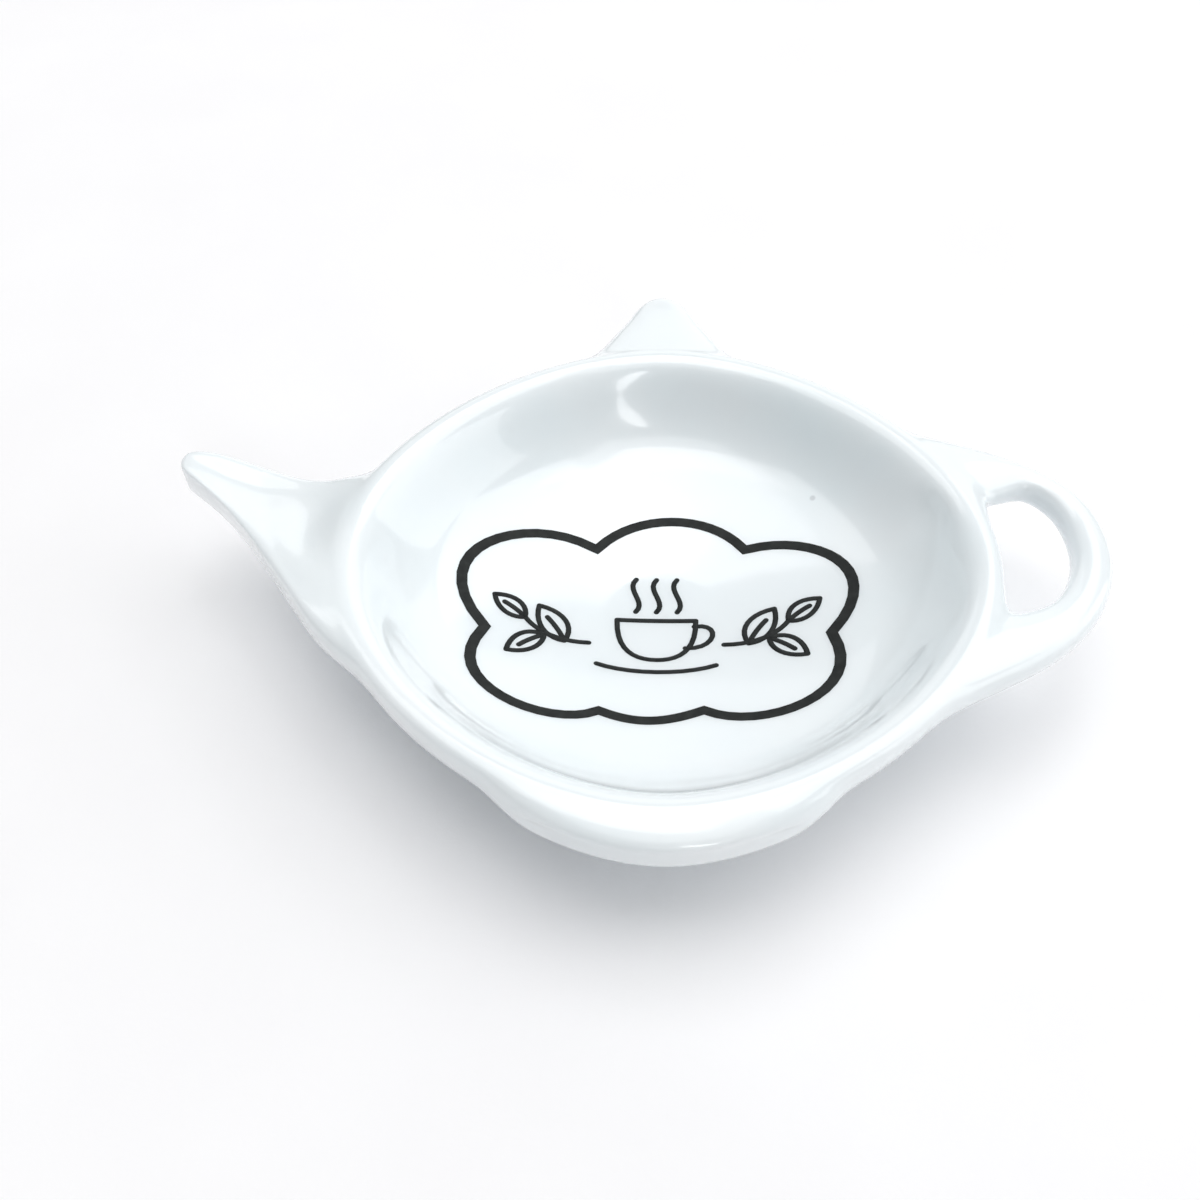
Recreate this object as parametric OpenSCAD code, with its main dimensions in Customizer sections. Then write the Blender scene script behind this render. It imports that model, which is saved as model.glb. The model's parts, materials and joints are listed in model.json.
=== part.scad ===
// Teapot-shaped tea bag rest: a small glazed porcelain dish on a foot ring,
// with a flat spout, handle, lid knob and base lobe round its rim, and a
// fired-on line print on its floor. Millimetres, +X to the handle, +Z up,
// origin at the bottom centre of the whole piece.

/* [Dish] */
// Length of the bowl over its rim, along the spout and handle
bowl_length = 82; // [72:0.5:92]
// Width of the bowl over its rim, across the spout and handle
bowl_width = 77.4; // [70:0.5:90]
// Height of the rim's crest above the table
dish_height = 19; // [17:0.5:23]
// Height of the floor's middle above the table
floor_height = 5; // [4.6:0.1:6]
// Length over which the floor stays gently curved
floor_length = 58; // [50:1:64]
// How far the gentle floor rises from its middle to its end
floor_rise = 4.2; // [2:0.1:5]
// Thickness of the porcelain
wall = 3.2; // [2.6:0.1:4]
// Distance from the crest out to the rim's edge
crest_inset = 1.3; // [1:0.1:1.8]
// Drop from the crest to the top of the rim's edge
crest_drop = 1; // [0.6:0.1:1.2]
// Height of the rim's upright edge
edge_height = 3.8; // [3.6:0.1:4.4]

/* [Foot ring] */
// Outside diameter of the foot ring
foot_d = 45; // [40:0.5:48]
// Width of the foot ring's face
foot_w = 2.2; // [1.6:0.1:2.6]

/* [Spout] */
// How far the spout's tip stands out from the rim
spout_out = 23; // [18:0.5:32]
// Distance of the spout's tip to the back of the bowl's centre
spout_lift = 15.2; // [12:0.1:20]
// Width of the spout's tip
spout_tip_w = 4.6; // [4:0.1:7]
// Depth of the spout's trough below its edges
spout_dish = 1.2; // [0.6:0.1:1.6]

/* [Handle] */
// How far the handle stands out from the rim
handle_out = 14.6; // [12:0.1:20]
// Width of the handle's band at its outermost point
band_w = 4.6; // [3.6:0.1:6]
// Length of the finger hole, along the rim
hole_l = 22.4; // [20:0.1:25]
// Distance of the finger hole's middle to the back of the bowl's centre
hole_lift = 0.4; // [-1:0.1:3]
// Width of the handle where it leaves the rim
handle_root_w = 6.4; // [6:0.1:9]

/* [Lid knob] */
// How far the knob stands out from the rim
knob_out = 12.1; // [10:0.1:18]
// Width of the knob's foot along the rim
knob_foot_w = 25; // [20:0.5:30]
// Diameter of the knob's rounded end
knob_d = 8.4; // [6:0.1:10]

/* [Base lobe] */
// How far the lobe stands out from the rim
lobe_out = 4.1; // [3.4:0.1:8]
// Width of the lobe where it leaves the rim
lobe_root_w = 41; // [36:0.5:50]
// Width of the lobe's straight front
lobe_front_w = 10; // [6:0.5:16]

/* [Print] */
// Gently curved floor left clear past each end of the cloud line
cloud_clear = 3; // [2:0.5:6]
// Width of the cloud line across the dish
cloud_width = 35.5; // [28:0.5:36]
// Thickness of the cloud's stroke
cloud_stroke = 1.4; // [0.8:0.1:2]
// Thickness of the strokes inside the cloud
fine_stroke = 0.7; // [0.5:0.1:1]
// Height of the cup drawn in the cloud's middle
cup_mark_h = 17; // [12:0.5:20]
// Length of each leaf sprig drawn beside the cup
sprig_l = 13; // [9:0.5:15]
// Height of the fired colour above the glaze
print_height = 0.08; // [0.06:0.01:0.15]

/* [Hidden] */

porcelain = [0.95, 0.97, 0.98];
bare_clay = [0.90, 0.88, 0.84];
ink = [0.16, 0.17, 0.17];

// Counts that set how finely the curved shells are drawn
segments = 80;
curve_steps = 8;

// The bowl, in half sizes; every ring of it is the same oval
bowl_r = bowl_length / 2;
oval = bowl_width / bowl_length;
floor_r = floor_length / 2;
crest_r = bowl_r - crest_inset;
rim_top_z = dish_height - crest_drop;
rim_bottom_z = rim_top_z - edge_height;

// The spout, handle, knob and lobe leave the rim's upright edge midway
rim_gap = (edge_height - wall) / 2;
joint_z = rim_top_z - rim_gap;

// Reach of each feature from the bowl's centre
spout_reach = bowl_r + spout_out;
handle_reach = bowl_r + handle_out;
knob_reach = bowl_width / 2 + knob_out;
lobe_reach = bowl_width / 2 + lobe_out;

// The centre of the whole piece's outline lies on the origin
centre = [(spout_reach - handle_reach) / 2, (lobe_reach - knob_reach) / 2, 0];

// How far the edges of a flat feature are rounded, and how thick its edge stays
edge_round = 0.3 * wall;
edge_share = 0.4;

// The land under the floor that the foot ring grows from. It is oval and the ring is
// round, so it is wide enough for the ring both along and across the bowl
foot_r = foot_d / 2;
foot_in_r = foot_r - foot_w;
land_margin = 0.15 * foot_w;
land_in_r = (foot_in_r - land_margin) / max(oval, 1);
land_out_r = (foot_r + land_margin) / min(oval, 1);
land_z = floor_z(foot_r - foot_w / 2) - wall;

// Height of the floor's surface at a distance from the middle
function floor_z(r) = floor_height + floor_rise * pow(r / floor_r, 2);

// A point of the oval ring of half length r
function on_oval(angle, r) = [r * cos(angle), r * oval * sin(angle)];

// The place on the rim's edge that lies at a given y, on the +X side
function rim_x(y) = bowl_r * sqrt(1 - pow(y / (bowl_r * oval), 2));

// A cubic curve through four control points, at t from 0 to 1
function curve(p, t) = p[0] * pow(1 - t, 3) + p[1] * 3 * t * pow(1 - t, 2)
                     + p[2] * 3 * t * t * (1 - t) + p[3] * pow(t, 3);

// The slope of that curve as a unit vector
function slope(p, t) =
    let (d = (p[1] - p[0]) * pow(1 - t, 2) + (p[2] - p[1]) * 2 * t * (1 - t)
           + (p[3] - p[2]) * t * t)
    d / norm(d);

function mix(a, b, t) = a + (b - a) * t;

// The inner wall, from the end of the floor up to the crest, as [r, z]
wall_lead = 0.4 * (crest_r - floor_r);
floor_slope = 2 * floor_rise / floor_r;
wall_curve = [[floor_r, floor_z(floor_r)],
              [floor_r + wall_lead, floor_z(floor_r) + floor_slope * wall_lead],
              [crest_r - wall_lead / 2, dish_height],
              [crest_r, dish_height]];

// Radii of the rings that carry the gently curved floor
floor_ring_shares = [0.28, 0.52, 0.72, 0.88, 1];
floor_rings = [for (s = floor_ring_shares) [s * floor_r, floor_z(s * floor_r)]];

// The underside of the wall keeps the porcelain's thickness
under_steps = 3;
function under_wall(t) =
    let (p = curve(wall_curve, t), d = slope(wall_curve, t))
    [p[0] + wall * d[1], p[1] - wall * d[0]];

// Half profile of the bowl, from the middle of its top to the middle of its underside
crest_steps = 4;
bowl_profile = [
    each floor_rings,
    for (i = [1:curve_steps]) curve(wall_curve, i / curve_steps),
    for (i = [1:crest_steps]) let (a = 90 * i / crest_steps)
        [crest_r + crest_inset * sin(a), dish_height - crest_drop * (1 - cos(a))],
    [bowl_r, rim_bottom_z],
    for (i = [under_steps:-1:0]) under_wall(i / (2 * under_steps)),
    [mix(land_out_r, floor_r, 0.5), floor_z(mix(land_out_r, floor_r, 0.5)) - wall],
    [land_out_r, floor_z(land_out_r) - wall],
    [land_out_r, land_z],
    [land_in_r, land_z],
    [land_in_r, floor_z(land_in_r) - wall],
    [land_in_r / 2, floor_z(land_in_r / 2) - wall]
];

// A closed oval body from a half profile, with a point at the middle of each face
module oval_body(profile, top_z, bottom_z) {
    rings = len(profile);
    points = [
        [0, 0, top_z],
        for (ring = profile) for (i = [0:segments - 1])
            let (xy = on_oval(360 * i / segments, ring[0])) [xy[0], xy[1], ring[1]],
        [0, 0, bottom_z]
    ];
    last = len(points) - 1;
    function at(ring, i) = 1 + ring * segments + i % segments;
    faces = [
        for (i = [0:segments - 1]) [0, at(0, i + 1), at(0, i)],
        for (ring = [0:rings - 2]) for (i = [0:segments - 1]) each [
            [at(ring, i), at(ring, i + 1), at(ring + 1, i + 1)],
            [at(ring, i), at(ring + 1, i + 1), at(ring + 1, i)]],
        for (i = [0:segments - 1]) [at(rings - 1, i), at(rings - 1, i + 1), last]
    ];
    polyhedron(points = points, faces = faces, convexity = 6);
}

// The block inside the rim's edge, which trims what grows from the rim
module rim_block() {
    linear_extrude(2 * dish_height)
        polygon([for (i = [0:segments - 1]) on_oval(360 * i / segments, bowl_r)]);
}

// A flat feature with rounded edges, drawn through rows across it. Each row is
// [one edge, other edge, top height at the middle, rise at the edges, thickness share]
across_steps = 6;
module ribbon(rows) {
    function across(row) =
        let (inset = min(edge_round / norm(row[1] - row[0]), 0.25))
        [0, for (i = [0:across_steps]) mix(inset, 1 - inset, i / across_steps), 1];
    function top_z(row, u) = row[2] + row[3] * pow(2 * u - 1, 2);
    function half(row, u) = row[4] * wall / 2 * (u == 0 || u == 1 ? edge_share : 1);
    function ring(row) =
        let (us = across(row), n = len(us))
        [for (i = [0:n - 1]) let (p = mix(row[0], row[1], us[i]))
             [p[0], p[1], top_z(row, us[i]) - wall / 2 + half(row, us[i])],
         for (i = [n - 1:-1:0]) let (p = mix(row[0], row[1], us[i]))
             [p[0], p[1], top_z(row, us[i]) - wall / 2 - half(row, us[i])]];
    rings = [for (row = rows) ring(row)];
    n = len(rings[0]);
    last = len(rings) - 1;
    points = [for (r = rings) each r];
    faces = [
        [for (i = [0:n - 1]) i],
        for (k = [0:last - 1]) for (i = [0:n - 1]) let (j = (i + 1) % n) each [
            [k * n + i, (k + 1) * n + i, (k + 1) * n + j],
            [k * n + i, (k + 1) * n + j, k * n + j]],
        [for (i = [n - 1:-1:0]) last * n + i]
    ];
    polyhedron(points = points, faces = faces, convexity = 6);
}

module bowl() {
    color(porcelain) translate(centre)
        oval_body(bowl_profile, floor_height, floor_height - wall);
}

module foot_ring() {
    color(bare_clay) translate(centre) difference() {
        cylinder(h = land_z, r = foot_r, $fn = segments);
        translate([0, 0, -land_z]) cylinder(h = 3 * land_z, r = foot_in_r, $fn = segments);
    }
}

// The spout leaves the rim in a long sweep below and a short one above
spout_root_shares = [0.39, -0.47];
spout_top = [
    [-rim_x(spout_root_shares[0] * bowl_r * oval), spout_root_shares[0] * bowl_r * oval],
    [-mix(bowl_r, spout_reach, 0.12), 0.55 * spout_lift],
    [-mix(bowl_r, spout_reach, 0.62), spout_lift + 0.75 * spout_tip_w],
    [-mix(bowl_r, spout_reach, 0.95), spout_lift + 0.35 * spout_tip_w]];
spout_bottom = [
    [-rim_x(spout_root_shares[1] * bowl_r * oval), spout_root_shares[1] * bowl_r * oval],
    [-mix(bowl_r, spout_reach, 0.21), -0.62 * spout_lift],
    [-mix(bowl_r, spout_reach, 0.46), 0.31 * spout_lift],
    [-mix(bowl_r, spout_reach, 0.96), spout_lift - 0.6 * spout_tip_w]];
spout_steps = 12;
// How far the trough's middle sinks below the rim joint, as a share of its depth
trough_share = 0.6;
module spout() {
    rows = [
        for (i = [0:spout_steps]) let (t = i / spout_steps)
            [curve(spout_top, t), curve(spout_bottom, t),
             joint_z - trough_share * spout_dish * sin(180 * t), spout_dish * sin(90 * t), 1],
        [[-spout_reach, spout_lift + spout_tip_w / 4], [-spout_reach, spout_lift - spout_tip_w / 4],
         joint_z, spout_dish / 2, edge_share]
    ];
    color(porcelain) translate(centre) difference() {
        ribbon(rows);
        rim_block();
    }
}

// The handle is a C-shaped band; its outer and inner edges are two curves each
hole_r = hole_l / 2;
hole_x = handle_reach - band_w;
hole_w = hole_x - bowl_r;
band_top = hole_lift + hole_r + handle_root_w;
band_bottom = hole_lift - hole_r - handle_root_w;
handle_turn_y = hole_lift + 0.2 * hole_r;
upper_outer = [
    [rim_x(band_top + 0.75 * handle_root_w), band_top + 0.75 * handle_root_w],
    [0.95 * bowl_r, band_top - 0.15 * handle_root_w],
    [handle_reach, band_top + 0.1 * handle_root_w],
    [handle_reach, handle_turn_y]];
lower_outer = [
    [handle_reach, handle_turn_y],
    [handle_reach, hole_lift - hole_r],
    [mix(bowl_r, handle_reach, 0.28), band_bottom - 0.1 * handle_root_w],
    [rim_x(band_bottom - 0.75 * handle_root_w), band_bottom - 0.75 * handle_root_w]];
upper_inner = [
    [0.94 * bowl_r, hole_lift + 0.85 * hole_r],
    [bowl_r + 0.55 * hole_w, hole_lift + 1.22 * hole_r],
    [hole_x, hole_lift + 0.94 * hole_r],
    [hole_x, handle_turn_y]];
lower_inner = [
    [hole_x, handle_turn_y],
    [hole_x, hole_lift - 0.45 * hole_r],
    [bowl_r + 0.5 * hole_w, hole_lift - 1.2 * hole_r],
    [0.94 * bowl_r, hole_lift - 0.98 * hole_r]];
module handle() {
    rows = [
        for (i = [0:curve_steps]) let (t = i / curve_steps)
            [curve(upper_outer, t), curve(upper_inner, t), joint_z, 0, 1],
        for (i = [1:curve_steps]) let (t = i / curve_steps)
            [curve(lower_outer, t), curve(lower_inner, t), joint_z, 0, 1]
    ];
    color(porcelain) translate(centre) difference() {
        ribbon(rows);
        rim_block();
    }
}

// The knob's side runs in from its foot and round its end
knob_foot_y = 0.95 * bowl_r * oval;
knob_side = [
    [knob_foot_w / 2, knob_foot_y],
    [0.75 * knob_d, mix(knob_foot_y, knob_reach, 0.25)],
    [knob_d / 2, knob_reach],
    [0, knob_reach]];
knob_rows_shares = [0, 0.14, 0.28, 0.42, 0.56, 0.68, 0.8];
module lid_knob() {
    end = curve(knob_side, 0.92);
    rows = [
        for (t = knob_rows_shares) let (p = curve(knob_side, t))
            [[p[0], p[1]], [-p[0], p[1]], joint_z, 0, 1],
        [[end[0], knob_reach], [-end[0], knob_reach], joint_z, 0, edge_share]
    ];
    color(porcelain) translate(centre) difference() {
        ribbon(rows);
        rim_block();
    }
}

// The lobe's side runs out from its root and round to its straight front
lobe_root_y = -bowl_r * oval * sqrt(1 - pow(lobe_root_w / bowl_length, 2));
lobe_side = [
    [lobe_root_w / 2, lobe_root_y],
    [0.4 * lobe_root_w, mix(lobe_root_y, -lobe_reach, 0.4)],
    [1.2 * lobe_front_w, -lobe_reach],
    [lobe_front_w / 2, -lobe_reach]];
lobe_rows_shares = [0, 0.15, 0.3, 0.45, 0.6, 0.72, 0.84];
module base_lobe() {
    end = curve(lobe_side, 1);
    rows = [
        for (t = lobe_rows_shares) let (p = curve(lobe_side, t))
            [[-p[0], p[1]], [p[0], p[1]], joint_z, 0, 1],
        [[-end[0], end[1]], [end[0], end[1]], joint_z, 0, edge_share]
    ];
    color(porcelain) translate(centre) difference() {
        ribbon(rows);
        rim_block();
    }
}

// The thin layer on the floor that a print is cut from
module floor_layer() {
    top_rings = [for (ring = floor_rings) [ring[0], ring[1] + print_height]];
    bottom_rings = [for (i = [len(floor_rings) - 1:-1:0]) floor_rings[i]];
    oval_body([each top_rings, each bottom_rings], floor_height + print_height, floor_height);
}

// Where the drawing's middle lies from the bowl's centre, as shares of the cloud's size
print_place_shares = [-0.01, -0.056];

// One print: a flat drawing laid on the curved floor
module print_on_floor() {
    color(ink) translate(centre) intersection() {
        linear_extrude(dish_height)
            translate([print_place_shares[0] * cloud_length, print_place_shares[1] * cloud_width])
                children();
        floor_layer();
    }
}

// A line along one cubic curve, half as thick as the finished stroke. Its control
// points are shares of a size
module curve_line(shares, size) {
    n = curve_steps;
    points = [for (i = [0:n]) curve(shares * size, i / n)];
    side = [for (i = [0:n])
        let (d = points[min(i + 1, n)] - points[max(i - 1, 0)])
        fine_stroke / 4 * [-d[1], d[0]] / norm(d)];
    polygon([for (i = [0:n]) points[i] + side[i], for (i = [n:-1:0]) points[i] - side[i]]);
}

// Lines thickened to the fine stroke, with round ends and corners
module inked() {
    offset(r = fine_stroke / 4, $fn = 12) children();
}

cloud_length = floor_length - 2 * cloud_clear;

// The cloud's six lobes run from notch to notch, as shares of its length and width
cloud_lobe_shares = [
    [[-0.433, -0.089], [-0.543, -0.399], [-0.241, -0.562], [-0.131, -0.460]],
    [[-0.131, -0.460], [-0.044, -0.521], [0.022, -0.508], [0.113, -0.450]],
    [[0.113, -0.450], [0.235, -0.557], [0.512, -0.418], [0.440, -0.099]],
    [[0.440, -0.099], [0.606, 0.194], [0.411, 0.415], [0.233, 0.357]],
    [[0.233, 0.357], [0.141, 0.545], [-0.060, 0.543], [-0.159, 0.362]],
    [[-0.159, 0.362], [-0.355, 0.524], [-0.634, 0.251], [-0.433, -0.089]]];
module cloud_shape() {
    scale([cloud_length, cloud_width])
        polygon([for (lobe = cloud_lobe_shares) for (i = [0:curve_steps - 1])
                     curve(lobe, i / curve_steps)]);
}
module cloud_line() {
    print_on_floor() difference() {
        cloud_shape();
        offset(delta = -cloud_stroke) cloud_shape();
    }
}

// A cup on a saucer under three wisps of steam, as shares of its height
cup_side_shares = [[0.30, 0.06], [0.30, -0.26], [0.16, -0.34], [0, -0.34]];
cup_rim_shares = [[-0.30, 0.06], [-0.1, 0.06], [0.1, 0.06], [0.30, 0.06]];
cup_ear_shares = [[0.29, 0], [0.50, 0.04], [0.46, -0.24], [0.22, -0.22]];
saucer_shares = [[-0.44, -0.40], [-0.22, -0.49], [0.22, -0.49], [0.44, -0.40]];
steam_shares = [[0, 0.15], [0.09, 0.25], [-0.09, 0.37], [0, 0.47]];
steam_step_share = 0.16;
cup_place_share = -0.02;
module cup_mark() {
    print_on_floor() translate([0, cup_place_share * cloud_width]) inked() {
        for (side = [0, 1]) mirror([side, 0]) curve_line(cup_side_shares, cup_mark_h);
        for (shares = [cup_rim_shares, cup_ear_shares, saucer_shares])
            curve_line(shares, cup_mark_h);
        for (i = [-1:1]) translate([i * steam_step_share * cup_mark_h, 0])
            curve_line(steam_shares, cup_mark_h);
    }
}

// A stem with two leaves and a bud, as shares of its length
stem_shares = [[-0.5, -0.22], [-0.2, -0.24], [0.02, -0.12], [0.14, 0.04]];
leaf_upper_shares = [[0, 0], [0.12, 0.20], [0.36, 0.20], [0.54, 0]];
leaf_lower_shares = [[0, 0], [0.12, -0.16], [0.36, -0.16], [0.54, 0]];
leaf_rib_shares = [[0, 0], [0.12, 0.02], [0.24, 0.02], [0.36, 0]];
// Where each leaf grows along the stem, its turn and its size, as a share
leaf_place_shares = [[-0.26, -0.225, 58, 0.95], [-0.06, -0.165, -36, 0.8], [0.14, 0.04, 38, 0.75]];
sprig_place_shares = [0.29, -0.01];
module leaf_sprigs() {
    print_on_floor()
        for (side = [0, 1]) mirror([side, 0])
            translate([sprig_place_shares[0] * cloud_length, sprig_place_shares[1] * cloud_width])
                inked() {
                    curve_line(stem_shares, sprig_l);
                    for (leaf = leaf_place_shares)
                        translate([leaf[0], leaf[1]] * sprig_l) rotate(leaf[2])
                            for (shares = [leaf_upper_shares, leaf_lower_shares, leaf_rib_shares])
                                curve_line(shares, leaf[3] * sprig_l);
                }
}

bowl();
foot_ring();
spout();
handle();
lid_knob();
base_lobe();
cloud_line();
cup_mark();
leaf_sprigs();
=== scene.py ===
import json
from math import atan2, degrees, pi, radians

import bmesh
import bpy
from mathutils import Matrix, Vector
from mathutils.geometry import interpolate_bezier

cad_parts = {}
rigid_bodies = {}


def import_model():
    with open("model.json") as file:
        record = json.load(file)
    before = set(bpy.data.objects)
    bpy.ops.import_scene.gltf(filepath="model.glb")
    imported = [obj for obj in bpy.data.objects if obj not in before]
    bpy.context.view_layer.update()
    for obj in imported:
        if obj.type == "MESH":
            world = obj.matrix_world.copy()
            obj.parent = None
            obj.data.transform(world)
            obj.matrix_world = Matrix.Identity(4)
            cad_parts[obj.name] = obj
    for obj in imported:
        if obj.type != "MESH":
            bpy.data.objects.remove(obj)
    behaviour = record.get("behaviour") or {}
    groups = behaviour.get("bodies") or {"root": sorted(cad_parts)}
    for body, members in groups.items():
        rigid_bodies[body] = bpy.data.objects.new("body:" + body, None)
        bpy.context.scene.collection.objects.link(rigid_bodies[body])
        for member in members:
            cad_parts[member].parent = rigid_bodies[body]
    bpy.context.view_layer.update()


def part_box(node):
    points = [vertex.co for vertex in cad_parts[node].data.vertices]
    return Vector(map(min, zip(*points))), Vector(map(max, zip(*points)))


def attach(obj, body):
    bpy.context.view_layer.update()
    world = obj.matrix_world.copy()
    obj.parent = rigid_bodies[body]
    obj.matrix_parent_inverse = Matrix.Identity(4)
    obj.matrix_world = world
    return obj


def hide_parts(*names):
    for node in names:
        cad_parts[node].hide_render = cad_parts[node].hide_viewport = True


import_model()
bpy.ops.object.select_all(action="DESELECT")
scene = bpy.context.scene
mm = 0.001

# The camera looks down into the dish from the front, about 13 cm above the table.
# It stands a little to the right and leans slightly, as a phone held over a table does.
camera_height_angle = radians(48.9)
camera_turn = radians(3.44)
camera_lean = radians(-1.99)
camera_distance = 175 * mm
bowl_low, bowl_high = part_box("bowl")
middle = Vector(((bowl_high.x + bowl_low.x) / 2, (bowl_high.y + bowl_low.y) / 2, 0))
camera_target = middle + Vector((-8.2, 6.2, 0)) * mm
bpy.ops.object.camera_add()
camera = bpy.context.object
camera.name = "camera"
camera.data.lens = 38.3
camera.data.sensor_width = 36
camera.data.clip_start = 10 * mm
camera.matrix_world = (
    Matrix.Translation(camera_target)
    @ Matrix.Rotation(camera_turn, 4, "Z")
    @ Matrix.Rotation(pi / 2 - camera_height_angle, 4, "X")
    @ Matrix.Rotation(camera_lean, 4, "Z")
    @ Matrix.Translation((0, 0, camera_distance))
)
scene.camera = camera

# The dish is one pressed piece of white porcelain: a shallow oval bowl with the spout, handle,
# lid knob and base lobe growing from its rim. Its half profile is turned like a plate's, then
# drawn oval, and each feature is pulled out of the rim's upright edge.
rim_x = (bowl_high.x - bowl_low.x) / 2
rim_y = (bowl_high.y - bowl_low.y) / 2
segments = 48

# Half profile from the middle of the floor, over the crest, to the inside of the foot,
# as distance out and height in millimetres
edge_top = 17.8
edge_bottom = 14.6
profile = [
    (7.5, 5.28), (14.5, 6.05), (21, 7.2), (26.5, 8.5), (30.3, 10.0), (33.4, 12.6),
    (35.6, 15.7), (37.3, 18.15), (39.2, 19.02), (40.8, 18.7), (41.5, edge_top),
    (41.2, edge_bottom), (39.3, 12.6), (36.4, 10.1), (33, 7.6), (28.6, 5.9), (25.2, 4.9),
    (23.1, 3.7), (22.5, 1.9), (22.4, 0.6), (22.0, 0.42), (20.8, 0.42), (20.4, 0.6),
    (20.2, 2.3), (19, 3.4), (14, 2.95), (7.5, 2.35),
]
bpy.ops.mesh.primitive_plane_add(size=mm)
dish = bpy.context.object
dish.name = "porcelain_dish"
bpy.ops.object.mode_set(mode="EDIT")
bpy.ops.mesh.merge(type="CENTER")
bpy.ops.transform.translate(value=middle + Vector((profile[0][0] * mm, 0, profile[0][1] * mm)))
for (out, up), (next_out, next_up) in zip(profile, profile[1:]):
    bpy.ops.mesh.extrude_vertices_move(
        TRANSFORM_OT_translate={"value": ((next_out - out) * mm, 0, (next_up - up) * mm)})
bpy.ops.mesh.select_all(action="SELECT")
bpy.ops.mesh.spin(steps=segments, angle=2 * pi, center=middle, axis=(0, 0, 1))
bpy.ops.mesh.select_all(action="SELECT")
hair = 0.01 * mm
bpy.ops.mesh.remove_doubles(threshold=hair)
bpy.ops.transform.resize(value=(1, rim_y / rim_x, 1), center_override=middle)


def select(kind, test):
    """Selects just the vertices or faces in edit mode whose places pass a test."""
    bpy.ops.mesh.select_mode(type=kind)
    bpy.ops.mesh.select_all(action="DESELECT")
    shape = bmesh.from_edit_mesh(bpy.context.object.data)
    for part in (shape.verts if kind == "VERT" else shape.faces):
        place = part.co if kind == "VERT" else part.calc_center_median()
        if test(place):
            part.select_set(True)
    shape.select_flush_mode()
    bmesh.update_edit_mesh(bpy.context.object.data)


def smoothstep(low, high, value):
    """Rises smoothly from 0 at a low value to 1 at a high one."""
    share = min(max((value - low) / (high - low), 0), 1)
    return share * share * (3 - 2 * share)


def selected_places():
    """The places of the selected vertices in edit mode."""
    shape = bmesh.from_edit_mesh(bpy.context.object.data)
    return [v.co.copy() for v in shape.verts if v.select]


# The rim runs a little straighter between its four features than a true oval, whose power
# is 2, and lies slightly to the front of the floor. The floor and foot stay as turned
rim_power = 1.8
rim_shift = -1.2 * mm
turned_as_is = 24 * mm
drawn_fully = 36 * mm
shape = bmesh.from_edit_mesh(dish.data)
for vertex in shape.verts:
    share = Vector(((vertex.co.x - middle.x) / rim_x, (vertex.co.y - middle.y) / rim_y))
    blend = smoothstep(turned_as_is / rim_x, drawn_fully / rim_x, share.length)
    along = share.normalized()
    reach = (abs(along.x) ** rim_power + abs(along.y) ** rim_power) ** (-1 / rim_power)
    grow = 1 + (reach - 1) * blend
    vertex.co.x = middle.x + share.x * grow * rim_x
    vertex.co.y = middle.y + share.y * grow * rim_y + rim_shift * blend
bmesh.update_edit_mesh(dish.data)

# The two open middles, of the floor and of its underside, are closed with a grid that then
# sinks to follow the curve of the profile
floor_sink = 0.28 * mm
underside_sink = 0.5 * mm
just_inside = 0.999
for (out, up), sink in ((profile[0], floor_sink), (profile[-1], underside_sink)):
    hole_z = up * mm
    select("VERT", lambda p: abs(p.z - hole_z) < hair)
    bpy.ops.mesh.fill_grid(span=segments // 4)
    shape = bmesh.from_edit_mesh(dish.data)
    for vertex in shape.verts:
        share = Vector(((vertex.co.x - middle.x) / rim_x, (vertex.co.y - middle.y) / rim_y)).length
        share *= rim_x / (out * mm)
        if abs(vertex.co.z - hole_z) < 5 * hair and share < just_inside:
            vertex.co.z -= sink * (1 - share ** 2)
    bmesh.update_edit_mesh(dish.data)


def rim_angle(place):
    """The angle of a place round the oval rim, in degrees from the handle's side."""
    return degrees(atan2((place.y - middle.y - rim_shift) / rim_y,
                         (place.x - middle.x) / rim_x)) % 360


def pull_from_rim(start, end, rows, flow):
    """Pulls the faces of the rim's upright edge between two angles out through rows. A row
    gives the plan places of its two ends from the bowl's middle, and its top's height. Flow
    first lifts the edge between them, so that the crest runs out without a step."""
    end_margin = 5
    select("VERT", lambda p: (
        abs(p.z - edge_top * mm) < 5 * hair and (p.xy - middle.xy).length > drawn_fully
        and start + end_margin < rim_angle(p) < end - end_margin))
    bpy.ops.transform.translate(value=(0, 0, flow * mm))
    face_z = (edge_top + edge_bottom) / 2 * mm
    height_margin = 0.55 * mm
    select("FACE", lambda p: abs(p.z - face_z) < height_margin and start < rim_angle(p) < end)
    places = sorted(selected_places(), key=lambda p: (rim_angle(p) - start + 90) % 360)
    a, b = places[0].xy, places[-1].xy
    top = (edge_top + flow) * mm
    for row_a, row_b, row_top in rows:
        next_a = middle.xy + Vector(row_a) * mm
        next_b = middle.xy + Vector(row_b) * mm
        step = ((next_a + next_b) - (a + b)) / 2
        bpy.ops.mesh.extrude_region_move(
            TRANSFORM_OT_translate={"value": (step.x, step.y, row_top * mm - top)})
        centre = ((next_a + next_b) / 2).to_3d()
        turn = (b - a).angle_signed(next_b - next_a)
        bpy.ops.transform.rotate(value=turn, orient_axis="Z", center_override=centre)
        wider = (next_b - next_a).length / (b - a).length
        bpy.ops.transform.resize(value=(wider, wider, 1), center_override=centre)
        a, b, top = next_a, next_b, row_top * mm
    shape = bmesh.from_edit_mesh(bpy.context.object.data)
    return [face.calc_center_median() for face in shape.faces if face.select]


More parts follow.
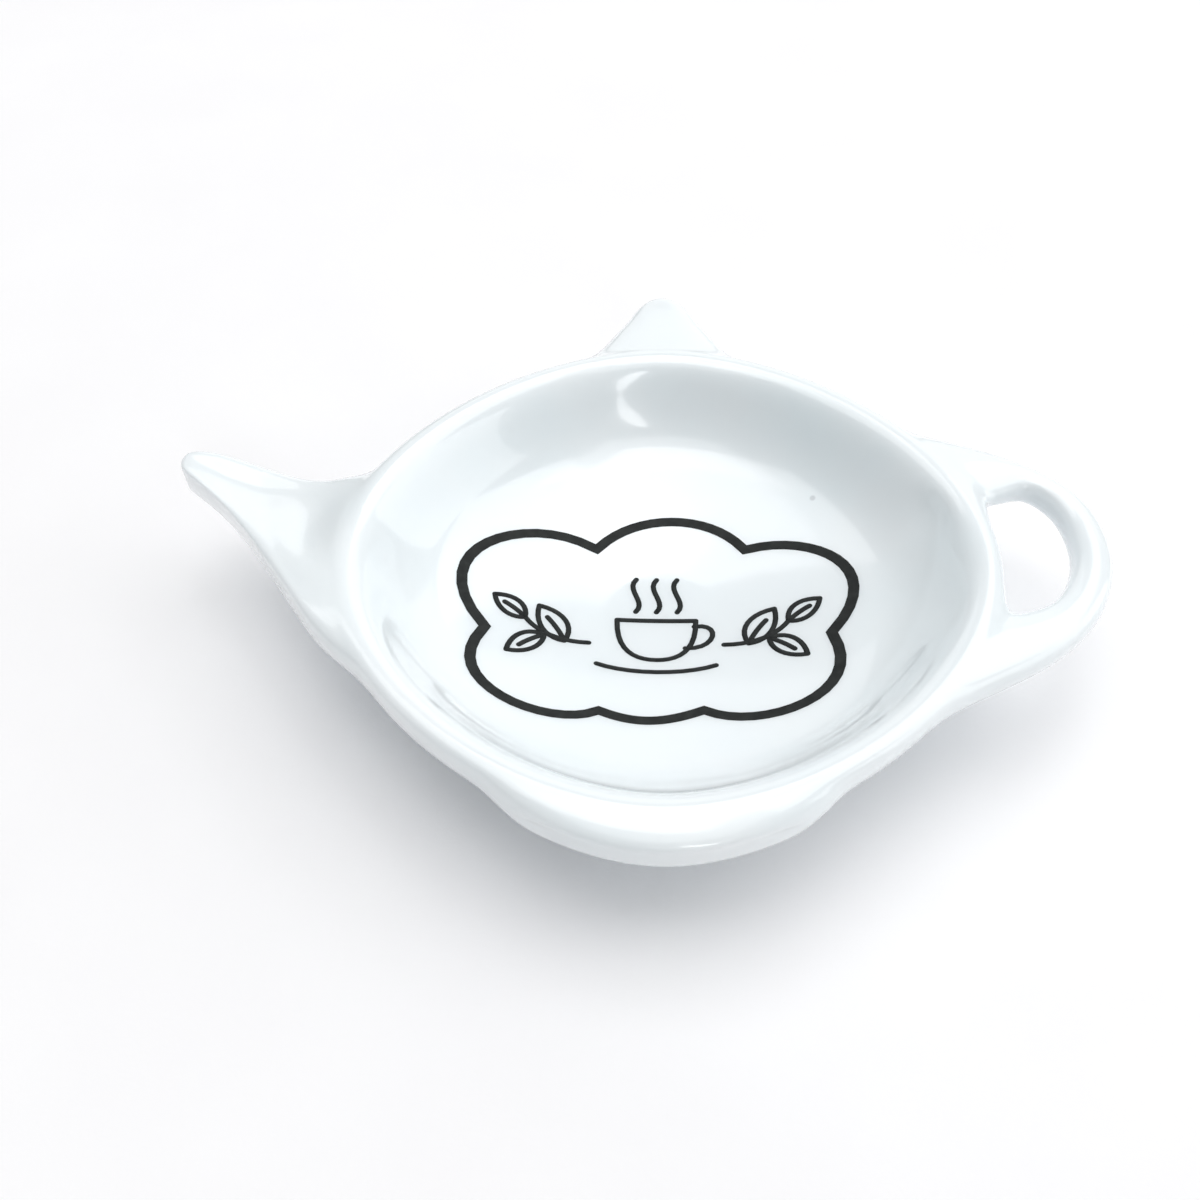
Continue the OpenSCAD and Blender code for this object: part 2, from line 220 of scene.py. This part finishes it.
# The spout is a flat trough: its back edge leaves the rim in a short hollow, its front edge
# in a long sweep, and both run to a small round tip
spout_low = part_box("spout")[0]
spout_tip_x = (spout_low.x - middle.x) / mm + 0.4
spout_tip = ((spout_tip_x, 15.6), (spout_tip_x, 13.8), 17.4)
spout_back = [Vector(p) for p in ((-38.6, 15.4), (-43.6, 8.2), (-56, 18.8), (-62.7, 17.2))]
spout_front = [Vector(p) for p in ((-36.4, -19.6), (-45.8, -9.5), (-51.6, 4.8), (-63.0, 12.5))]
spout_tops = (18.0, 17.6, 17.4, 17.3, 17.4, 17.5, 17.7, 17.8)
rows = len(spout_tops)
back_edge = interpolate_bezier(*spout_back, rows + 1)
front_edge = interpolate_bezier(*spout_front, rows + 1)
spout_rows = list(zip(back_edge[1:], front_edge[1:], spout_tops)) + [spout_tip]
pull_from_rim(157, 211, spout_rows, flow=0.75)

# The trough's floor sinks between its edges. Near the rim it is deepest towards the back,
# where the crest drops into it, and level with the crest at the front
root_lifts = (0.4, 0.4, 0.2, -0.2, -0.7, -1.1, -0.9, -0.1)
tip_lifts = (0.35, -0.1, -0.4, -0.55, -0.55, -0.4, -0.1, 0.35)
root_shares = (0.4, 0.85, 1, 0.8, 0.5, 0.2, 0)
half_steps = (len(root_lifts) - 1) / 2
half_share_step = 0.14
trough_z = 16 * mm
row_reach = 2.2 * mm
for row in range(1, rows):
    at_rim = root_shares[row - 1]
    centre = middle.xy + (back_edge[row] + front_edge[row]) / 2 * mm
    half_width = (back_edge[row] - front_edge[row]).length / 2 * mm
    along = (back_edge[row] - front_edge[row]).normalized()
    for step, (at_root, at_tip) in enumerate(zip(root_lifts, tip_lifts)):
        share = step / half_steps - 1
        select("VERT", lambda p: (
            p.z > trough_z and abs((p.xy - centre).cross(along)) < row_reach
            and abs((p.xy - centre).dot(along) / half_width - share) < half_share_step))
        lift = at_root * at_rim + at_tip * row / rows
        bpy.ops.transform.translate(value=(0, 0, lift * mm))

# The handle is a flat band round a finger hole. Its two ends are pulled from the rim and
# bridged where they meet, at the band's outermost point
handle_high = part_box("handle")[1]
handle_reach = (handle_high.x - middle.x) / mm
band_tops = (18.1, 17.9, 17.7, 17.6, 17.6)
turn_y = 2.6
outer_x = handle_reach + 0.2
inner_x = handle_reach - 5.0
upper_inner = [Vector(p) for p in ((40.1, 9.6), (46.5, 14.1), (inner_x, 10.9), (inner_x, turn_y))]
upper_outer = [Vector(p) for p in ((32.9, 23.9), (39, 16.6), (outer_x, 17.2),
                                   (outer_x, turn_y))]
lower_inner = [Vector(p) for p in ((40.1, -10.6), (46, -11.0), (inner_x, -3.8), (inner_x, turn_y))]
lower_outer = [Vector(p) for p in ((33.4, -22.6), (45, -17.8), (outer_x, -10.8),
                                   (outer_x, turn_y))]
rows = len(band_tops)
upper_hole_edge = interpolate_bezier(*upper_inner, rows + 1)[1:]
lower_hole_edge = interpolate_bezier(*lower_inner, rows + 1)[1:-1]
upper_outline = interpolate_bezier(*upper_outer, rows + 1)[1:]
lower_outline = interpolate_bezier(*lower_outer, rows + 1)[1:-1]
upper_hole_edge[0] = Vector((43.3, 9.4))
lower_hole_edge[0] = Vector((43.8, -8.9))
ends = pull_from_rim(14, 39, list(zip(upper_hole_edge, upper_outline, band_tops)), flow=0.7)
ends += pull_from_rim(321, 346, list(zip(lower_outline, lower_hole_edge, band_tops)), flow=0.7)
select("FACE", lambda p: any((p - end).length < hair for end in ends))
bpy.ops.mesh.bridge_edge_loops()

# The clay fills the finger hole's two corners at the rim, so that the hole's near side is
# almost straight
corner_reach = 42 * mm
corner_spread = 1.5
edge_margin = 0.3
for corner_angle, fill in ((15, (1.9, 0.3, 0)), (345, (1.3, 1.1, 0))):
    select("VERT", lambda p: (
        abs(rim_angle(p) - corner_angle) < corner_spread
        and (p.xy - middle.xy).length < corner_reach
        and edge_bottom - edge_margin < p.z / mm < edge_top + edge_margin))
    bpy.ops.transform.translate(value=Vector(fill) * mm)

# The knob is a rounded point on the back of the rim
knob_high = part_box("lid_knob")[1]
knob_reach = (knob_high.y - middle.y) / mm
pull_from_rim(74, 106, [
    ((7.4, 42.2), (-7.4, 42.2), 18.1),
    ((5.4, 45.6), (-5.4, 45.6), 17.8),
    ((4.1, 48.6), (-4.1, 48.6), 17.9),
    ((2.5, knob_reach - 0.8), (-2.5, knob_reach - 0.8), 17.9),
    ((1.0, knob_reach - 0.15), (-1.0, knob_reach - 0.15), 17.5),
], flow=0.6)

# The lobe is a shallow straight-fronted shelf on the front of the rim, thinner at its front
lobe_front_top = 16.8
lobe_thinning = 0.55
pull_from_rim(239, 301, [
    ((-18.2, -35.8), (18.2, -35.8), 18.2),
    ((-15.6, -37.9), (15.6, -37.9), 17.5),
    ((-14.2, -38.4), (14.2, -38.4), lobe_front_top),
], flow=0.8)
bpy.ops.transform.resize(
    value=(1, 1, lobe_thinning), center_override=(0, 0, lobe_front_top * mm))

# Subdivision rounds every edge as the glaze does
bpy.ops.mesh.select_all(action="SELECT")
bpy.ops.mesh.normals_make_consistent(inside=False)
bpy.ops.object.mode_set(mode="OBJECT")
bpy.ops.object.shade_smooth()
subsurf = dish.modifiers.new("smooth", "SUBSURF")
subsurf.levels = subsurf.render_levels = 2
bpy.ops.object.modifier_apply(modifier=subsurf.name)

# Every surface shares one ripple: noise at a size in millimetres, given as a bump height
ripple = bpy.data.node_groups.new("fine_ripple", "ShaderNodeTree")
for socket_name in ("Size", "Depth", "Detail"):
    ripple.interface.new_socket(
        name=socket_name, in_out="INPUT", socket_type="NodeSocketFloat")
ripple.interface.new_socket(name="Height", in_out="OUTPUT", socket_type="NodeSocketFloat")
group_in = ripple.nodes.new("NodeGroupInput")
group_out = ripple.nodes.new("NodeGroupOutput")
places = ripple.nodes.new("ShaderNodeTexCoord")
per_size = ripple.nodes.new("ShaderNodeMath")
per_size.operation = "DIVIDE"
per_size.inputs[0].default_value = 1 / mm
noise = ripple.nodes.new("ShaderNodeTexNoise")
depth = ripple.nodes.new("ShaderNodeMath")
depth.operation = "MULTIPLY"
ripple.links.new(group_in.outputs["Size"], per_size.inputs[1])
ripple.links.new(places.outputs["Object"], noise.inputs["Vector"])
ripple.links.new(per_size.outputs[0], noise.inputs["Scale"])
ripple.links.new(group_in.outputs["Detail"], noise.inputs["Detail"])
ripple.links.new(noise.outputs["Fac"], depth.inputs[0])
ripple.links.new(group_in.outputs["Depth"], depth.inputs[1])
ripple.links.new(depth.outputs[0], group_out.inputs["Height"])

# They share one mottle too: noise that drifts between two colours, from one noise value
# to another
mottle = bpy.data.node_groups.new("colour_mottle", "ShaderNodeTree")
for socket_name, kind in (("Scale", "Float"), ("Detail", "Float"), ("From", "Float"),
                          ("To", "Float"), ("Low", "Color"), ("High", "Color")):
    mottle.interface.new_socket(
        name=socket_name, in_out="INPUT", socket_type="NodeSocket" + kind)
mottle.interface.new_socket(name="Color", in_out="OUTPUT", socket_type="NodeSocketColor")
group_in = mottle.nodes.new("NodeGroupInput")
group_out = mottle.nodes.new("NodeGroupOutput")
places = mottle.nodes.new("ShaderNodeTexCoord")
noise = mottle.nodes.new("ShaderNodeTexNoise")
spread = mottle.nodes.new("ShaderNodeMapRange")
blend = mottle.nodes.new("ShaderNodeMix")
blend.data_type = "RGBA"
mottle.links.new(places.outputs["Object"], noise.inputs["Vector"])
mottle.links.new(group_in.outputs["Scale"], noise.inputs["Scale"])
mottle.links.new(group_in.outputs["Detail"], noise.inputs["Detail"])
mottle.links.new(noise.outputs["Fac"], spread.inputs["Value"])
mottle.links.new(group_in.outputs["From"], spread.inputs["From Min"])
mottle.links.new(group_in.outputs["To"], spread.inputs["From Max"])
mottle.links.new(spread.outputs["Result"], blend.inputs["Factor"])
mottle.links.new(group_in.outputs["Low"], blend.inputs["A"])
mottle.links.new(group_in.outputs["High"], blend.inputs["B"])
mottle.links.new(blend.outputs["Result"], group_out.inputs["Color"])


def new_material(name, colour, roughness):
    """A material's node tree and shader, in one colour and roughness to start from."""
    material = bpy.data.materials.new(name)
    material.use_nodes = True
    shader = material.node_tree.nodes["Principled BSDF"]
    shader.inputs["Base Color"].default_value = (*colour, 1)
    shader.inputs["Roughness"].default_value = roughness
    return material, material.node_tree, shader


def add_ripple(tree, shader, size, depth_mm, detail):
    """Gives a shader the shared ripple, at a size and depth in millimetres."""
    ripple_node = tree.nodes.new("ShaderNodeGroup")
    ripple_node.node_tree = ripple
    ripple_node.inputs["Size"].default_value = size
    ripple_node.inputs["Depth"].default_value = depth_mm
    ripple_node.inputs["Detail"].default_value = detail
    bump = tree.nodes.new("ShaderNodeBump")
    bump.inputs["Distance"].default_value = mm
    tree.links.new(ripple_node.outputs["Height"], bump.inputs["Height"])
    tree.links.new(bump.outputs["Normal"], shader.inputs["Normal"])


def add_mottle(tree, target, scale, detail, noise_from, noise_to, low, high):
    """Gives a colour input the shared mottle between two colours."""
    mottle_node = tree.nodes.new("ShaderNodeGroup")
    mottle_node.node_tree = mottle
    mottle_node.inputs["Scale"].default_value = scale
    mottle_node.inputs["Detail"].default_value = detail
    mottle_node.inputs["From"].default_value = noise_from
    mottle_node.inputs["To"].default_value = noise_to
    mottle_node.inputs["Low"].default_value = (*low, 1)
    mottle_node.inputs["High"].default_value = (*high, 1)
    tree.links.new(mottle_node.outputs["Color"], target)


# The glaze is a clear cool white that drifts by a shade from place to place, under a glassy
# coat. It has one pinhead speck on the back of the floor
glaze, tree, shader = new_material("glaze", (0.86, 0.93, 0.968), 0.2)
shader.inputs["Coat Weight"].default_value = 1
shader.inputs["Coat Roughness"].default_value = 0.07
shader.inputs["Subsurface Weight"].default_value = 0.4
shader.inputs["Subsurface Radius"].default_value = (1, 1, 1)
shader.inputs["Subsurface Scale"].default_value = 3 * mm
add_ripple(tree, shader, 6, 0.06, 2)
coords = tree.nodes.new("ShaderNodeTexCoord")
speck_place = middle + Vector((20.64, 17.05, 9.18)) * mm
speck_dark_radius = 0.25 * mm
speck_radius = 0.5 * mm
speck_strength = 0.3
apart = tree.nodes.new("ShaderNodeVectorMath")
apart.operation = "DISTANCE"
apart.inputs[1].default_value = speck_place
tree.links.new(coords.outputs["Object"], apart.inputs[0])
speck = tree.nodes.new("ShaderNodeMapRange")
speck.inputs["From Min"].default_value = speck_dark_radius
speck.inputs["From Max"].default_value = speck_radius
speck.inputs["To Min"].default_value = speck_strength
speck.inputs["To Max"].default_value = 0
tree.links.new(apart.outputs["Value"], speck.inputs["Value"])
speckled = tree.nodes.new("ShaderNodeMix")
speckled.data_type = "RGBA"
speckled.inputs["B"].default_value = (0.22, 0.21, 0.2, 1)
tree.links.new(speck.outputs["Result"], speckled.inputs["Factor"])
add_mottle(tree, speckled.inputs["A"], 60, 3, 0.3, 0.7,
           (0.862, 0.934, 0.977), (0.89, 0.952, 0.984))
tree.links.new(speckled.outputs["Result"], shader.inputs["Base Color"])
dish.data.materials.append(glaze)

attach(dish, "root")
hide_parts("bowl", "spout", "handle", "lid_knob", "base_lobe")

# The foot ring is the porcelain's own foot, ground flat and left without glaze where it
# stands on the table
foot_low, foot_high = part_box("foot_ring")
foot_outer = (foot_high.x - foot_low.x) / 2
foot_width = 2.2 * mm
foot_top = 1.2 * mm
foot_bevel = 0.4 * mm
sharp_angle = radians(60)
bpy.ops.object.select_all(action="DESELECT")
bpy.ops.mesh.primitive_cylinder_add(
    vertices=96, radius=foot_outer, depth=foot_top, end_fill_type="NGON",
    location=middle + Vector((0, 0, foot_top / 2)))
foot = bpy.context.object
foot.name = "foot_face"
bpy.ops.object.transform_apply(location=True, rotation=False, scale=False)
bpy.ops.object.mode_set(mode="EDIT")
select("FACE", lambda p: (p.xy - middle.xy).length < mm)
bpy.ops.mesh.inset(thickness=foot_width)
bpy.ops.mesh.bridge_edge_loops()
bpy.ops.mesh.select_mode(type="EDGE")
bpy.ops.mesh.select_all(action="DESELECT")
shape = bmesh.from_edit_mesh(foot.data)
for edge in shape.edges:
    if edge.calc_face_angle(0) > sharp_angle:
        edge.select_set(True)
bmesh.update_edit_mesh(foot.data)
bpy.ops.mesh.bevel(offset=foot_bevel, segments=4)
bpy.ops.object.mode_set(mode="OBJECT")
bpy.ops.object.shade_smooth_by_angle(angle=radians(40))

bare, tree, shader = new_material("bare_porcelain", (0.8, 0.775, 0.73), 0.75)
add_ripple(tree, shader, 0.35, 0.02, 4)
add_mottle(tree, shader.inputs["Base Color"], 900, 5, 0.35, 0.6,
           (0.75, 0.72, 0.67), (0.82, 0.8, 0.76))
foot.data.materials.append(bare)

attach(foot, "root")
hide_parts("foot_ring")

# The cloud's outline is a broad line of fired ceramic colour, printed on the dish's floor.
# It is drawn flat as one closed shape, inset to a line, and laid down on the glaze
cloud_lobes = [
    ((-23.1, -5.2), (-28.8, -16.2), (-13.1, -22.0), (-7.4, -18.4)),
    ((-7.4, -18.4), (-2.8, -20.5), (0.6, -20.1), (5.3, -18.0)),
    ((5.3, -18.0), (11.7, -21.8), (26.1, -16.9), (22.3, -5.5)),
    ((22.3, -5.5), (31.0, 4.9), (20.8, 12.8), (11.6, 10.7)),
    ((11.6, 10.7), (6.8, 17.4), (-3.7, 17.3), (-8.8, 10.9)),
    ((-8.8, 10.9), (-19.0, 16.6), (-33.5, 6.9), (-23.1, -5.2)),
]
cloud_stroke = 1.4 * mm
lobe_steps = 16
drawn_height = 30 * mm
above = Vector((middle.x, middle.y, drawn_height))
outline = [
    above + point * mm
    for lobe in cloud_lobes
    for point in interpolate_bezier(*[Vector((x, y, 0)) for x, y in lobe], lobe_steps + 1)[:-1]]
bpy.ops.object.select_all(action="DESELECT")
bpy.ops.mesh.primitive_plane_add(size=mm)
cloud = bpy.context.object
cloud.name = "cloud_print"
bpy.ops.object.mode_set(mode="EDIT")
bpy.ops.mesh.select_mode(type="VERT")
bpy.ops.mesh.merge(type="CENTER")
bpy.ops.transform.translate(value=outline[0])
for place, next_place in zip(outline, outline[1:]):
    bpy.ops.mesh.extrude_vertices_move(TRANSFORM_OT_translate={"value": next_place - place})
bpy.ops.mesh.select_all(action="SELECT")
bpy.ops.mesh.edge_face_add()
bpy.ops.mesh.inset(thickness=cloud_stroke, use_even_offset=True)
bpy.ops.mesh.delete(type="FACE")
bpy.ops.object.mode_set(mode="OBJECT")

ink_above_glaze = 0.03 * mm
ink_thickness = 0.06 * mm


def lay_on_glaze(drawing):
    """Drops a flat drawing onto the dish's floor and gives the colour its thickness."""
    wrap = drawing.modifiers.new("lay", "SHRINKWRAP")
    wrap.target = dish
    wrap.wrap_method = "PROJECT"
    wrap.use_project_z = True
    wrap.use_positive_direction = False
    wrap.use_negative_direction = True
    bpy.ops.object.modifier_apply(modifier=wrap.name)
    bpy.ops.object.mode_set(mode="EDIT")
    bpy.ops.mesh.select_all(action="SELECT")
    bpy.ops.transform.translate(value=(0, 0, ink_above_glaze))
    bpy.ops.mesh.extrude_region_move(TRANSFORM_OT_translate={"value": (0, 0, -ink_thickness)})
    bpy.ops.mesh.select_all(action="SELECT")
    bpy.ops.mesh.normals_make_consistent(inside=False)
    bpy.ops.object.mode_set(mode="OBJECT")


lay_on_glaze(cloud)

ink, tree, shader = new_material("fired_ink", (0.022, 0.025, 0.024), 0.5)
shader.inputs["Specular IOR Level"].default_value = 0.12
add_ripple(tree, shader, 0.5, 0.004, 3)
add_mottle(tree, shader.inputs["Base Color"], 700, 3, 0.35, 0.75,
           (0.018, 0.02, 0.02), (0.03, 0.033, 0.032))
cloud.data.materials.append(ink)

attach(cloud, "root")
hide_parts("cloud_line")

# The cup on its saucer, under three wisps of steam, is drawn in a finer line of the same
# fired colour. Each stroke is one curve, in millimetres from the drawing's middle
fine_stroke = 0.7 * mm
cup_middle = above + Vector((-0.5, -2.7, 0)) * mm
cup_strokes = [
    ((5.1, 1.0), (5.1, -4.4), (2.7, -5.8), (0, -5.8)),
    ((-5.1, 1.0), (-5.1, -4.4), (-2.7, -5.8), (0, -5.8)),
    ((-5.1, 1.0), (-1.7, 1.0), (1.7, 1.0), (5.1, 1.0)),
    ((4.9, 0), (8.5, 0.7), (7.8, -4.1), (3.7, -3.7)),
    ((-7.5, -6.8), (-3.7, -8.3), (3.7, -8.3), (7.5, -6.8)),
]
wisp_stroke = ((0, 2.5), (1.5, 4.2), (-1.5, 6.3), (0, 8.0))
wisp_step = 2.7


def draw_strokes(name, strokes, place):
    """Draws flat, round-ended strokes of the fine line at a place and returns their mesh."""
    bpy.ops.object.select_all(action="DESELECT")
    bpy.ops.curve.primitive_bezier_curve_add()
    nib = bpy.context.object
    nib_points = nib.data.splines[0].bezier_points
    for nib_point, side in zip(nib_points, (-1, 1)):
        nib_point.handle_left_type = nib_point.handle_right_type = "VECTOR"
        nib_point.co = (side * fine_stroke / 2, 0, 0)
    nib.data.resolution_u = 1
    bpy.ops.curve.primitive_bezier_curve_add()
    drawing = bpy.context.object
    drawing.name = name
    line = drawing.data
    line.splines.clear()
    for stroke in strokes:
        start, start_pull, end_pull, end = [Vector((x, y, 0)) * mm + place for x, y in stroke]
        spline = line.splines.new("BEZIER")
        spline.bezier_points.add(1)
        first, last = spline.bezier_points
        for bend in (first, last):
            bend.handle_left_type = bend.handle_right_type = "FREE"
        first.co, first.handle_right, first.handle_left = start, start_pull, start * 2 - start_pull
        last.co, last.handle_left, last.handle_right = end, end_pull, end * 2 - end_pull
    line.resolution_u = 10
    line.twist_mode = "Z_UP"
    line.bevel_mode = "OBJECT"
    line.bevel_object = nib
    bpy.ops.object.convert(target="MESH")
    bpy.ops.object.mode_set(mode="EDIT")
    for x, y in sorted({stroke[end] for stroke in strokes for end in (0, 3)}):
        bpy.ops.mesh.primitive_circle_add(
            vertices=16, radius=fine_stroke / 2, fill_type="TRIFAN",
            location=Vector((x, y, 0)) * mm + place)
    bpy.ops.object.mode_set(mode="OBJECT")
    bpy.data.objects.remove(nib)
    return drawing


cup = draw_strokes("cup_print", cup_strokes, cup_middle)
wisp = draw_strokes("wisp", [wisp_stroke], cup_middle - Vector((wisp_step * mm, 0, 0)))
for _ in range(2):
    bpy.ops.object.duplicate_move(TRANSFORM_OT_translate={"value": (wisp_step * mm, 0, 0)})
for drawing in bpy.data.objects:
    drawing.select_set(drawing.name.startswith(("cup_print", "wisp")))
bpy.context.view_layer.objects.active = cup
bpy.ops.object.join()
lay_on_glaze(cup)
cup.data.materials.append(ink)

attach(cup, "root")
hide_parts("cup_mark")

# The leaf sprigs either side of the cup are in the same fine line: a stem with two leaves
# and a bud, drawn once and mirrored
sprig_middle = Vector((15.1, -0.4, 0))
stem_stroke = ((-6.5, -2.9), (-2.6, -3.1), (0.3, -1.6), (1.8, 0.5))
leaf_strokes = [
    ((0, 0), (1.56, 2.6), (4.68, 2.6), (7.0, 0)),
    ((0, 0), (1.56, -2.1), (4.68, -2.1), (7.0, 0)),
    ((0, 0), (1.56, 0.26), (3.12, 0.26), (4.7, 0)),
]
leaf_places = [((-3.4, -2.9), 58, 0.95), ((-0.8, -2.15), -36, 0.8), ((1.8, 0.5), 38, 0.75)]
sprig_strokes = [stem_stroke]
for (x, y), turn, size in leaf_places:
    lay = Matrix.Translation((x, y, 0)) @ Matrix.Rotation(radians(turn), 4, "Z")
    for stroke in leaf_strokes:
        sprig_strokes.append([tuple((lay @ (Vector((u, v, 0)) * size)).xy) for u, v in stroke])
sprigs = draw_strokes("sprig_print", sprig_strokes, cup_middle + sprig_middle * mm)
bpy.ops.object.mode_set(mode="EDIT")
bpy.ops.mesh.select_all(action="SELECT")
bpy.ops.mesh.duplicate()
bpy.ops.transform.resize(value=(-1, 1, 1), center_override=cup_middle)
bpy.ops.object.mode_set(mode="OBJECT")
lay_on_glaze(sprigs)
sprigs.data.materials.append(ink)

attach(sprigs, "root")
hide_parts("leaf_sprigs")

# The table is matt white paper under soft window light from behind and to the right.
# Its colour alone makes it near white, so it keeps the dish's shadow
table_side = 3
bpy.ops.object.select_all(action="DESELECT")
bpy.ops.mesh.primitive_plane_add(size=table_side)
table = bpy.context.object
table.name = "table"
paper, tree, shader = new_material("paper", (0.96, 0.955, 0.965), 0.9)
shader.inputs["Specular IOR Level"].default_value = 0.1
add_ripple(tree, shader, 0.6, 0.02, 4)
add_mottle(tree, shader.inputs["Base Color"], 40, 4, 0.3, 0.7,
           (0.95, 0.944, 0.955), (0.968, 0.964, 0.972))
table.data.materials.append(paper)


def add_panel(name, place, aim, width, height, power):
    """A soft rectangular light at a place in metres, facing another."""
    bpy.ops.object.light_add(type="AREA", location=place)
    panel = bpy.context.object
    panel.name = name
    panel.data.shape = "RECTANGLE"
    panel.data.size = width
    panel.data.size_y = height
    panel.data.energy = power
    panel.rotation_euler = (Vector(place) - Vector(aim)).to_track_quat("Z", "Y").to_euler()


add_panel("window", (2.44, 0.0, 0.89), (0, 0, 0), 2.4, 1.6, 16.5)
add_panel("high_window", (1.04, 0.73, 2.04), (0, 0, 0), 2.4, 1.6, 18.6)
add_panel("back_window", (0.42, 2.37, 0.97), (0, 0, 0), 2.6, 1.5, 8.4)
add_panel("skylight", (-0.07, 0.5, 2.0), (-0.07, 0.5, 0), 0.85, 1.8, 9.2)
add_panel("side_skylight", (-0.97, 0.5, 2.0), (-0.97, 0.5, 0), 0.95, 1.8, 6.6)
add_panel("ceiling", (0, -0.4, 2.4), (0, -0.4, 0), 1.8, 1.8, 9.7)
add_panel("far_window", (0.37, -1.17, 0.9), (0, 0, 0), 0.17, 0.68, 1.2)

# The far window is a leaning oval, so that its glint on the back wall bends where the
# wall's curve turns
far_window = bpy.context.object
far_window.data.shape = "ELLIPSE"
far_window.rotation_euler.rotate_axis("Z", radians(20))

scene.world = bpy.data.worlds.new("room")
scene.world.use_nodes = True
room = scene.world.node_tree.nodes["Background"]
room.inputs["Color"].default_value = (0.98, 0.99, 1, 1)
room.inputs["Strength"].default_value = 0.26
scene.view_settings.view_transform = "Standard"
